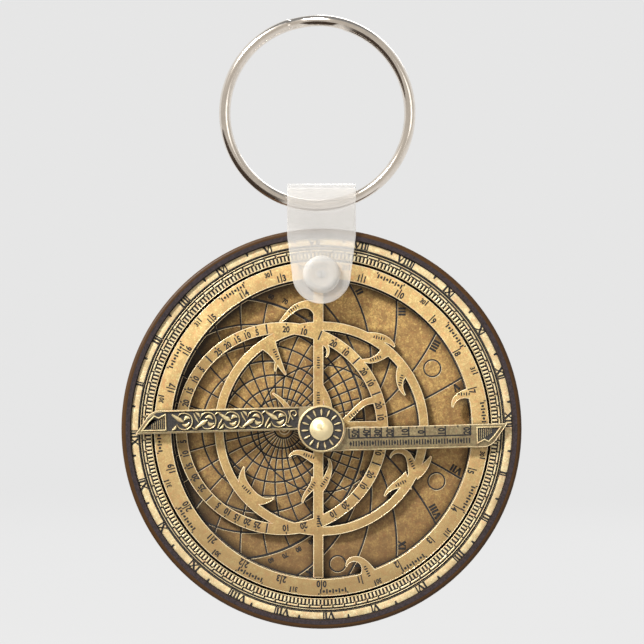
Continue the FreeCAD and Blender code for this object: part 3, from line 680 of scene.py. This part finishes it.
def degree_ring():
    """A blackened ring with a raised line, a row of dashes, a row of teeth and another line."""
    repaint("degree_ring", BLACK)
    level = front("degree_ring")
    top = level + 0.14
    raised = Relief()
    raised.bead(circle(HOUR_INNER - 0.26), 0.14, level, top, closed=True)
    foot, side = level - SINK, top - 0.03
    block = [(-1, foot), (-0.9, side), (-0.55, top), (0.55, top), (0.9, side), (1, foot)]
    dashes, teeth = 96, 3
    pitch = 360 / dashes
    for dash in range(dashes):
        start = pitch * dash
        raised.sweep(arc(25.36, start + 0.22, start + 3.53), 0.24, block)
        raised.sweep(spoke(25.44, 25.02, start + 3.4), 0.13, block)
    for tooth in range(teeth * dashes):
        raised.sweep(spoke(24.34, 25.06, pitch / teeth * tooth + 0.3), 0.29, block)
    raised.bead(circle(24.26), 0.13, level, top, closed=True)
    raised.build("degree_scale", "disc", [SCALE])


# ---- the calendar ring ----


def calendar_ring():
    softened("calendar_ring", "disc", BAND, EDGE, 0.12, 3)
    level = front("calendar_ring")
    worn_edges("calendar_ring", "disc", level)
    lines = Relief()
    foot = BAND_INNER + 0.62
    letter_turn = math.degrees(0.45 / foot)
    for hour in range(24):
        if hour == 12:  # under the strap's snap
            continue
        angle = 90 + 15 * (hour - 12)
        lines.ink(spoke(BAND_INNER + 0.06, BAND_INNER + 1.4, angle), 0.14, level)
        digits = str(hour) if hour else "00"
        for digit, way in zip(reversed(digits), (-1, 1)):  # the units, then the tens
            number(lines, digit, polar(foot + 0.03, angle + way * letter_turn), 0.92, angle, level)
    for month in range(12):
        end = 80.2 - 30.2 * month  # where the month before it ends; they run clockwise
        lines.ink(spoke(BAND_OUTER - 0.9, BAND_OUTER - 0.06, end), 0.17, level)
        days = "30" if month % 2 else "31"
        number(lines, days, polar(BAND_OUTER - 0.6, end + 1.5), 0.68, end, level)
        for mark in range(-4, 5):  # dots and strokes stand for the month's name
            turn = end - 15.1 + 1.1 * mark
            if mark % 2:
                dot = circle(0.18, polar(BAND_OUTER - 0.62, turn), 0.1)
                lines.patch(dot, level, INK)
            else:
                lines.ink(spoke(BAND_OUTER - 0.93, BAND_OUTER - 0.31, turn), 0.2, level)
        for third in (1, 2):
            day = end - 10.07 * third
            lines.ink(spoke(BAND_OUTER - 0.36, BAND_OUTER - 0.06, day), 0.14, level)
    for spot, direction in (((20.3, 4.95), 180), ((6.5, -20.3), 115)):  # on its two hooks
        star_mark(lines, spot, direction, level)
    lines.build("calendar_engraving", "disc", [BLACK])


# ---- the plate ----


def almucantar(altitude):
    """Centre and radius of the circle of equal altitude on the plate."""
    a = math.radians(altitude)
    below = math.sin(LATITUDE) + math.sin(a)
    return (-EQUATOR * math.cos(LATITUDE) / below, 0.0), EQUATOR * math.cos(a) / below


HORIZON_CENTRE, HORIZON = almucantar(0)
ZENITH = (-tropic(LATITUDE), 0.0)


def on_plate(point):
    return math.hypot(*point) < CAPRICORN + 0.35


def beside_zenith(point):
    """Above the horizon, on the plate and clear of the zenith, where the azimuths would run together."""
    return math.dist(point, HORIZON_CENTRE) < HORIZON and on_plate(point) and math.dist(point, ZENITH) > 1.3


def arc_through(a, b, c):
    """An arc from a to c that passes b, or a straight line where the three lie in one."""
    (ax, ay), (bx, by), (cx, cy) = a, b, c
    d = 2 * (ax * (by - cy) + bx * (cy - ay) + cx * (ay - by))
    if abs(d) < 1e-6:
        return [a, c]
    aa, bb, cc = ax * ax + ay * ay, bx * bx + by * by, cx * cx + cy * cy
    x = (aa * (by - cy) + bb * (cy - ay) + cc * (ay - by)) / d
    y = (aa * (cx - bx) + bb * (ax - cx) + cc * (bx - ax)) / d
    first, last = (math.degrees(math.atan2(v - y, u - x)) for u, v in (a, c))
    return arc(math.dist(a, (x, y)), first, first + math.remainder(last - first, 360), (x, y))


def horizon_angle(radius):
    """Where a circle round the pin meets the horizon, in degrees from the right."""
    middle = -HORIZON_CENTRE[0]
    return math.degrees(math.acos((HORIZON ** 2 - middle ** 2 - radius ** 2) / (2 * middle * radius)))


def hour_line(part):
    """One line of the unequal hours, through the twelfths of the three circles below the horizon."""
    radii = (CAPRICORN + 0.3, EQUATOR, CANCER)
    return arc_through(*(polar(r, horizon_angle(r) * (1 - part / 6)) for r in radii))


def hour_numeral(relief, path, text, level):
    """The numeral of an hour line lies along it, on the side of the plate's level line."""
    height = 1.0
    n = next(n for n, spot in enumerate(path) if math.hypot(*spot) < 20.0)
    outward = Vector(path[n - 1]) - Vector(path[n])
    direction = math.degrees(math.atan2(outward.y, outward.x))
    side = -90 if path[n][1] > 0 else 90
    gap = 0.25 if side < 0 else height + 0.25
    foot = Vector(path[n]) + Vector(polar(gap, direction + side))
    roman(relief, text, foot, height, direction - 90, level, serif=0.3)


def plate():
    repaint("plate", PLATE)
    level = front("plate")
    lines = Relief()
    for altitude in range(0, 90, 10):
        centre, radius = almucantar(altitude)
        wide = 0.34 if altitude == 0 else 0.25
        for stretch in runs(arc(radius, -180, 180, centre, 0.25), on_plate):
            engrave(lines, stretch, level, wide)
    nadir = EQUATOR ** 2 / -ZENITH[0]
    middle, reach = (nadir + ZENITH[0]) / 2, (nadir - ZENITH[0]) / 2
    for azimuth in range(-80, 90, 10):
        tangent = math.tan(math.radians(azimuth))
        centre, radius = (middle, reach * tangent), reach / math.cos(math.radians(azimuth))
        for stretch in runs(arc(radius, 0, 360, centre, 0.25), beside_zenith):
            widths = [min(0.22, 0.05 + 0.045 * math.dist(p, ZENITH)) for p in stretch]
            engrave(lines, stretch, level, widths)
    for radius in (0.4, 0.8):
        lines.bead(arc(radius, 185, 345, ZENITH), 0.14, level, level + 0.06, mark=1)
    engrave(lines, [(-CAPRICORN, 0.0), (-0.5, 0.0)], level, 0.24)
    for radius in (CANCER, EQUATOR, CAPRICORN + 0.2):
        engrave(lines, circle(radius), level, 0.22, closed=True)
    for part in range(1, 12):
        text = "IIII" if part == 4 else HOURS[part - 1]
        path = hour_line(part)
        engrave(lines, path, level, 0.26)
        hour_numeral(lines, path, text, level)
    for spot, radius in (((15.8, 8.6), 1.2), ((16.4, -7.5), 1.2), ((2.3, -19.3), 1.15)):
        engrave(lines, circle(radius, spot), level, 0.2, closed=True)
    for degrees in range(60, 160, 10):  # the azimuths' numbers, just below the horizon
        for way in (1, -1):
            spot = polar(HORIZON + 0.95, way * (180 - degrees) * 0.62, HORIZON_CENTRE)
            if math.hypot(*spot) < CAPRICORN - 0.8:
                number(lines, str(degrees), spot, 0.7, way * 62, level)
    lines.build("plate_engraving", "disc", [BLACK, EDGE])


# ---- the rete ----


RING_CENTRE, RING_OUTER, RING_INNER = (-5.65, 0.0), 15.1, 13.6  # the rete's ecliptic ring


def ecliptic_turn(longitude):
    """The direction of a degree of the ecliptic from the middle of its ring, in radians."""
    angle = math.radians(longitude)
    declination = math.asin(math.sin(OBLIQUITY) * math.sin(angle))
    ascension = math.atan2(math.sin(angle) * math.cos(OBLIQUITY), math.cos(angle))
    u, v = polar(tropic(declination), math.degrees(ascension) - 90)
    return math.atan2(v, u - RING_CENTRE[0])


def star_mark(relief, spot, direction, level):
    """A short engraved row of strokes that stands for the name of a star."""
    strokes = 5
    along = Vector(polar(1.0, direction))
    across = Vector((-along.y, along.x))
    for n in range(strokes):
        middle = Vector(spot) + along * 0.36 * (n - (strokes - 1) / 2)
        half = across * (0.24 if n % 2 else 0.17)
        relief.ink([tuple(middle - half), tuple(middle + half)], 0.16, level)


STAR_MARKS = (  # places and directions on the rete's pointers and bar
    ((-4.0, 17.1), 215), ((-6.5, 10.6), -65), ((8.2, 12.95), -12), ((7.7, 10.0), 200), ((11.3, 6.9), 255),
    ((4.6, 2.1), 38), ((12.9, -5.0), 115), ((11.3, -7.8), 205), ((-1.8, -3.9), 160), ((-10.7, -8.7), -45),
    ((-0.45, 9.4), -90), ((-0.45, 4.4), -90), ((-1.4, -8.3), 235), ((0.4, -7.6), 55), ((-0.45, -13.2), -90),
)


def rete():
    softened("rete", "rete", RETE, EDGE, 0.10, 3)
    level = front("rete")
    worn_edges("rete", "rete", level)
    lines = Relief()
    for longitude in range(0, 360, 5):
        angle = math.degrees(ecliptic_turn(longitude))
        gap = math.remainder(ecliptic_turn(longitude + 5) - ecliptic_turn(longitude - 5), math.tau)
        if longitude % 10 and abs(gap) * RING_OUTER < 3.1:  # no room for a number
            continue
        if longitude % 30 == 0:
            engrave(lines, spoke(RING_INNER + 0.08, RING_OUTER - 0.06, angle, RING_CENTRE), level, 0.22)
            continue
        lines.ink(spoke(RING_OUTER - 0.36, RING_OUTER - 0.06, angle, RING_CENTRE), 0.15, level)
        spot = polar(RING_INNER + 0.6, angle, RING_CENTRE)
        number(lines, str(longitude % 30), spot, 0.88, angle, level)
    for spot, direction in STAR_MARKS:
        star_mark(lines, spot, direction, level)
    lines.build("rete_engraving", "rete", [BLACK, EDGE])


# ---- the rule ----


def rule():
    """Two arms, each with a fan panel at its tip. They lie a little below the boss."""
    softened("rule", "rule", RULE, EDGE, 0.07)
    level = front("rule") - 0.15
    worn_edges("rule", "rule", level, 0.09)
    ornament = Relief(turn=RULE_TURN)
    reach, width = half_width("rule"), 3.2
    scrolled_arm(ornament, level, reach, width)
    scale_arm(ornament, level, width)
    for side in (-1, 1):
        rule_panel(ornament, side, level, reach, width)
    ornament.build("rule_ornament", "rule", [GROUND, ORNAMENT, BLACK])


def scrolled_arm(relief, level, reach, width):
    """The left arm: a black ground with raised borders and scrolls."""
    tip, shoulder, root = -reach + 0.55, -reach + 3.9, -3.2
    top = level + 0.2
    ground = [(tip + 0.35, 0.22), (shoulder - 2.1, 0.66 * width), (shoulder - 1.0, 0.9 * width),
              (shoulder + 0.2, width - 0.2), (root, width - 0.2), (root, 0.2)]
    relief.patch(ground, level, 0.015)
    relief.bead([(tip - 0.1, 0.16), (root, 0.16)], 0.12, level, top, mark=1)
    relief.bead([(shoulder - 0.2, width - 0.14), (root, width - 0.14)], 0.12, level, top, mark=1)
    for n in range(5):
        scroll(relief, shoulder + 3.0 + 3.36 * n, width / 2, -1 if n % 2 else 1, level + 0.01, top + 0.04)
    curl = ((-4.75, 1.0), (-4.45, 1.9), (-4.3, 2.6), (-3.75, 2.7), (-3.5, 2.25), (-3.8, 1.95), (-4.05, 2.2))
    relief.tapered([(u, v, 0.18) for u, v in curl], level, top, 1)


def scale_arm(relief, level, width):
    """The right arm: an engraved scale of declination above a row of strokes and lozenges."""
    cells = (3.9, 5.3, 6.9, 8.5, 10.2, 12.4, 14.7, 17.6, 21.2)
    numbers = ("50", "40", "30", "20", "10", "0", "10", "20")
    middle = -1.45
    high, foot = middle - 0.42, middle - 1.16  # of the strokes and lozenges
    relief.ink([(cells[0], middle), (cells[-1], middle)], 0.18, level, mark=2)
    for u in cells:
        relief.ink([(u, -0.06), (u, middle)], 0.17, level, mark=2)
    for left, right, text in zip(cells, cells[1:], numbers):
        number(relief, text, (right - 0.58, -0.84), 0.92, 180, level, 2)
        u = (left + right) / 2
        relief.ink([(u, -0.04), (u, -0.32)], 0.15, level, mark=2)
    marks = 44
    for n in range(marks):
        u = cells[0] + 0.2 + (cells[-1] - cells[0] - 0.4) * n / (marks - 1)
        if n % 4:
            relief.ink([(u, high), (u, foot)], 0.17, level, mark=2)
            continue
        waist = (high + foot) / 2
        lozenge = [(u - 0.2, waist), (u, high), (u + 0.2, waist), (u, foot)]
        relief.patch(lozenge, level, INK, 2)
    relief.bead([(3.2, -width + 0.1), (cells[-1] + 0.4, -width + 0.1)], 0.12, level, level + 0.1, mark=1)


def rule_panel(relief, side, level, reach, width):
    """The fan panel at the tip of an arm: a raised outline and fine raised staves."""
    root, peak = reach - 4.25, reach - 0.75
    fan = [(root, 0.42), (peak - 0.1, 0.42), (peak - 1.1, 0.62 * width - 0.28),
           (peak - 1.9, 0.9 * width - 0.42), (peak - 2.5, 0.8 * width - 0.4), (root, width - 0.55)]
    outline = [(side * u, -side * v) for u, v in fan]
    relief.patch(outline, level, 0.015)
    relief.bead(outline, 0.24, level, level + 0.2, closed=True, mark=1)
    for n in range(7):
        u = side * (root + 0.35 + 0.27 * n)
        crown = width - 0.95 - 0.16 * n
        relief.bead([(u, -side * 0.62), (u, -side * crown)], 0.09, level, level + 0.1, mark=1)


# A ring of stem, open to the left, with its leaves and shoots: widths, and points of (u, v, taper).
SCROLL = (
    (0.2, ((-0.85, 0.75, 0.4), (-0.45, 1.1, 0.9), (0.25, 1.12, 1), (0.95, 0.7, 1), (1.15, -0.1, 1),
           (0.8, -0.85, 1), (0.05, -1.18, 1), (-0.7, -0.95, 1), (-1.1, -0.35, 0.5))),
    (0.5, ((-1.75, 1.0, 0.5), (-1.25, 0.65, 0.9), (-0.6, 0.2, 1.3), (-0.1, -0.1, 0.3))),
    (0.55, ((0.0, 0.15, 0.3), (0.35, 0.55, 1.0), (0.85, 0.4, 0.3))),
    (0.55, ((-0.3, -0.45, 0.3), (0.25, -0.6, 1.0), (0.7, -0.2, 0.3))),
    (0.4, ((-1.75, -1.2, 0.3), (-1.35, -0.95, 1.0), (-1.15, -0.55, 0.3))),
    (0.28, ((1.4, 1.1, 0.6), (1.65, 0.5, 1.0), (2.05, -0.2, 0.6))),
    (0.2, ((0.95, -0.75, 0.4), (1.35, -1.1, 1.0), (1.9, -1.1, 0.4))),
)


def scroll(relief, u, v, way, low, high):
    """One scroll of the arm, way being -1 to turn it over."""
    for width, points in SCROLL:
        relief.tapered([(u + x, v + way * y, w * width) for x, y, w in points], low, high, 1)


def rosette():
    """Fifteen raised rays on a black ground inside a raised rim."""
    level = front("rosette")
    repaint("rosette", GROUND)
    rays = Relief()
    rays.bead(circle(half_width("rosette") + 0.08), 0.26, level - 0.1, level + 0.14, closed=True)
    ray = ((1.9, 0.1), (2.2, 0.24), (2.6, 0.3), (2.86, 0.1))  # radii and widths
    for n in range(15):
        rays.tapered([(*polar(r, 24 * n - 6), w) for r, w in ray], level, level + 0.16, steps=4)
    rays.build("rosette_rays", "rule", [ORNAMENT])


# ---- the pin ----


def pin_head():
    """The pin's dome, with the small dimple that its lathe centre left."""
    repaint("pin", POLISHED)
    low = front("rosette") + 0.02
    high = front("pin")
    head = Relief()
    rise, radius = high - low, half_width("pin")
    ball = (radius ** 2 + rise ** 2) / (2 * rise)  # the radius of the sphere that the dome is cut from
    section = [(0.0, high - 0.035), (0.1, high - 0.03), (0.17, high - 0.004)]
    for r in (0.26, 0.5, 0.8, 1.1, 1.35, 1.55):
        section.append((r, math.sqrt(ball ** 2 - r * r) - ball + high + 0.004))
    section += [(radius, low + 0.04), (radius - 0.03, low), (0.0, low)]
    head.lathe(section)
    head.build("pin_dome", "disc", [DOME])


hour_ring()
degree_ring()
calendar_ring()
plate()
rete()
rule()
rosette()
pin_head()

# ---- bezel, back, strap, snap and split ring ----

# the bezel's broken edges are black: painted shade along its lip and rim
softened("bezel", "disc", LACQUER, BLACK, 0.3)


def altitude_scales(lines, level):
    """A scale of altitude in each quarter, and inside it a ring of twelve months."""
    outer, ticks, inner, days, months = 26.2, 25.1, 24.0, 21.6, 20.9
    for radius in (outer, ticks, inner, days, months):
        engrave(lines, circle(radius), level, 0.18, closed=True)
    for degree in range(0, 360, 2):
        lines.ink(spoke(ticks if degree % 10 else inner, outer, degree), 0.14, level)
        if degree % 10 == 0 and degree % 90 and abs(degree - 90) > 12:  # the strap covers the top
            height = str(90 - abs(90 - degree % 180))
            number(lines, height, polar(24.55, degree + 1.6), 0.62, degree, level)
    for month in range(12):
        start = 30 * month
        lines.ink(spoke(months, inner, start), 0.16, level)
        for day in range(start + 5, start + 30, 5):
            lines.ink(spoke(months, days, day), 0.12, level)
        number(lines, str(month + 1), polar(22.6, start + 15), 0.95, start + 15, level)


def shadow_square(lines, level):
    """A box under the pin, divided along its foot and its sides."""
    half, high, deep, band = 11.5, -0.6, -11.5, 1.1
    for inset in (0.0, band):
        right, foot = half - inset, deep + inset
        engrave(lines, [(-right, high), (-right, foot), (right, foot), (right, high)], level, 0.18)
    for n in range(1, 24):
        u = -half + band + (2 * half - 2 * band) * n / 24
        lines.ink([(u, deep), (u, deep + band)], 0.13, level)
    for n in range(12):
        v = deep + band + (high - deep - band) * n / 12
        for side in (-1, 1):
            lines.ink([(side * half, v), (side * (half - band), v)], 0.13, level)


def back_face():
    """The back of the mater, the alidade and its small fittings."""
    repaint("mater", BACK)
    level = back("mater")
    lines = Relief(side=-1)
    altitude_scales(lines, level)
    shadow_square(lines, level)
    for radius in (6.0, 9.0, 12.0, 15.0, 18.0):
        engrave(lines, arc(radius, 2.0, 178.0), level, 0.17)
    for hour in range(1, 12):
        engrave(lines, spoke(6.0, 18.0, 15 * hour), level, 0.16)
    lines.build("back_engraving", "disc", [BLACK, EDGE])
    softened("alidade", "alidade", RULE, EDGE, 0.08)
    for side in ("left", "right"):
        softened(f"{side}_sight_vane", f"{side}_vane", RULE, EDGE, 0.06)
    softened("horse", "disc", POLISHED, POLISHED, 0.05)
    for node in ("limb_rivets", "back_washer", "tail_washer", "collar", "spare_plate"):
        repaint(node, BACK)
    repaint("hinge_pins", POLISHED)


def snap_button(node, name, side, low, high):
    """A domed plastic button with a turned groove and a nub in its middle."""
    near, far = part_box("snap_socket")
    centre = ((near.x + far.x) / 2 / MM, ((near.z + far.z) / 2 - CENTRE.z) / MM)
    radius = half_width("snap_socket")
    face = ((0.0, 0.08), (0.4, 0.09), (0.8, 0.14), (1.2, 0.10), (1.6, 0.02), (1.85, 0.0), (2.1, 0.04),
            (2.4, 0.2), (radius - 0.06, 0.5))  # radii, and depths below the top in shares of the height
    section = [(r, high - depth * (high - low)) for r, depth in face]
    section += [(radius, low + 0.25 * (high - low)), (radius - 0.1, low), (0.0, low)]
    button = Relief(side=side)
    button.lathe(section, centre)
    button.build(name, "strap", [SNAP], (node,))


def split_ring():
    """Two coils of round wire with one crossing, their free ends cut square and rounded."""
    wire, radius = 0.8 * MM, 13.2 * MM
    centre = Vector((-0.6 * MM, 0.0, -12.4 * MM))
    plane, jog, end_gap = wire + 0.01 * MM, math.radians(26.0), math.radians(3.0)
    start = math.pi / 2 + jog / 2 + end_gap
    turns = 2 * math.tau - jog - 2 * end_gap
    leave = math.tau - jog - end_gap
    steps, sides = 420, 24
    corners = []
    for n in range(steps + 1):
        travelled = turns * n / steps
        angle = start + travelled
        crossing = min(1.0, max(0.0, (travelled - leave) / jog))
        y = -plane * math.cos(math.pi * crossing)
        from_end = max(0.0, min(travelled, turns - travelled)) * radius
        rounding = math.sqrt(1 - (1 - min(1.0, from_end / (0.25 * MM))) ** 2)
        girth = wire * (0.65 + 0.35 * rounding)
        out = Vector((math.cos(angle), 0, math.sin(angle)))
        spot = centre + out * radius + Vector((0, y, 0))
        for k in range(sides):
            around = math.tau * k / sides
            corners.append(spot + (out * math.cos(around) + Vector((0, math.sin(around), 0))) * girth)
    mesh = closed_mesh("split_ring_wire", corners, skin(steps + 1, sides, False), 50)
    finish_piece("split_ring_wire", mesh, "split_ring", [NICKEL], (), ("split_ring",))


back_face()
snap_button("snap_cap", "snap_cap_button", 1, front("strap") + 0.02, front("snap_cap"))
snap_button("snap_socket", "snap_socket_button", -1, back("strap") + 0.02, back("snap_socket"))
softened("strap", "strap", STRAP, STRAP, 0.12, 3)
split_ring()

# ---- stage, light and camera ----


WALL_NEAR = (0.48, 0.45, 0.41)  # the glow of the wall on the viewer's side
WALL_FAR = (0.76, 0.76, 0.76)  # and behind the object


def matt_paper(name, dark, light):
    material, tree, shader = new_material(name)
    tinted(tree, shader, 40.0, 2.0, dark, light, 0.3)
    settle(shader, {"Roughness": 0.9, "Specular IOR Level": 0.0})
    return material, tree, shader


def stage_bowl():
    """A pale floor that rises into a round wall, so that every view has the same backdrop."""
    material, tree, shader = matt_paper("pale_paper", (0.04, 0.04, 0.04), (0.041, 0.041, 0.041))
    glow = spread(tree, position_along(tree, "Y"), -0.4, 0.2)
    link(tree, mix(tree, glow, WALL_NEAR, WALL_FAR), shader.inputs["Emission Color"])
    settle(shader, {"Emission Strength": 1.0})
    floor = CENTRE.z - (PIN_TO_RIM + 14) * MM
    flat, bend = 1.3, 0.5  # the radius of the flat floor and of its turn into the wall, in metres
    section = [(0.0, floor), (flat, floor)]
    for n in range(1, 13):
        angle = math.pi / 2 * n / 12
        section.append((flat + bend * math.sin(angle), floor + bend - bend * math.cos(angle)))
    section.append((flat + bend, floor + 2.4))
    work = bmesh.new()
    line = [work.verts.new((r, 0, z)) for r, z in section]
    edges = [work.edges.new(pair) for pair in zip(line, line[1:])]
    bmesh.ops.spin(work, geom=line + edges, cent=(0, 0, 0), axis=(0, 0, 1), angle=math.tau, steps=96)
    bmesh.ops.remove_doubles(work, verts=work.verts, dist=1e-5)
    bmesh.ops.recalc_face_normals(work, faces=work.faces)
    mesh = bpy.data.meshes.new("stage")
    work.to_mesh(mesh)
    work.free()
    smooth_by_angle(mesh)
    stage = bpy.data.objects.new("stage", mesh)
    mesh.materials.append(material)
    bpy.context.scene.collection.objects.link(stage)


def dark_card():
    """A black card on the floor to the left, which only reflections see: it streaks the wire."""
    height = CENTRE.z - (PIN_TO_RIM + 12) * MM
    corners = ((-0.6, -0.35), (-0.035, -0.35), (-0.035, 0.1), (-0.6, 0.1))
    mesh = bpy.data.meshes.new("dark_card")
    mesh.from_pydata([(x, y, height) for x, y in corners], [], [(0, 1, 2, 3)])
    mesh.materials.append(matt_paper("black_card", (0.02, 0.014, 0.01), (0.022, 0.015, 0.011))[0])
    card = bpy.data.objects.new("dark_card", mesh)
    card.visible_camera = False
    card.visible_diffuse = False
    card.visible_shadow = False
    bpy.context.scene.collection.objects.link(card)


def lamp(name, spot, energy, size, colour=(1, 1, 1)):
    """A square lamp that faces the disc. Spot is in metres from the disc's middle."""
    light = bpy.data.lights.new(name, "AREA")
    light.energy = energy
    light.size = size
    light.color = colour
    holder = bpy.data.objects.new(name, light)
    holder.location = CENTRE + Vector(spot)
    holder.rotation_euler = (CENTRE - holder.location).to_track_quat("-Z", "Y").to_euler()
    bpy.context.scene.collection.objects.link(holder)


def studio():
    bpy.context.scene.view_settings.view_transform = "Standard"
    world = bpy.data.worlds.new("studio")
    world.use_nodes = True
    settle(world.node_tree.nodes["Background"], {"Color": (0.95, 0.97, 1.0, 1), "Strength": 0.25})
    bpy.context.scene.world = world
    lamp("key", (-0.55, -0.48, 0.66), 18.0, 0.14, (1.0, 0.98, 0.95))
    lamp("fill", (0.6, -0.9, 0.0), 1.2, 0.6)
    lamp("rim", (0.2, 0.8, 0.5), 3.0, 0.5)


def camera():
    """A long lens level with the object, aimed above the pin so that the whole key ring fits."""
    data = bpy.data.cameras.new("camera")
    holder = bpy.data.objects.new("camera", data)
    bpy.context.scene.collection.objects.link(holder)
    distance = 0.9
    view_height = 91.9 * MM
    data.sensor_width = 36.0
    data.lens = data.sensor_width * distance / view_height
    data.clip_start = 0.01
    holder.location = CENTRE + Vector((0.07 * MM, -distance, 15.2 * MM))
    holder.rotation_euler = (math.pi / 2, 0, 0)
    bpy.context.scene.camera = holder


stage_bowl()
dark_card()
studio()
camera()
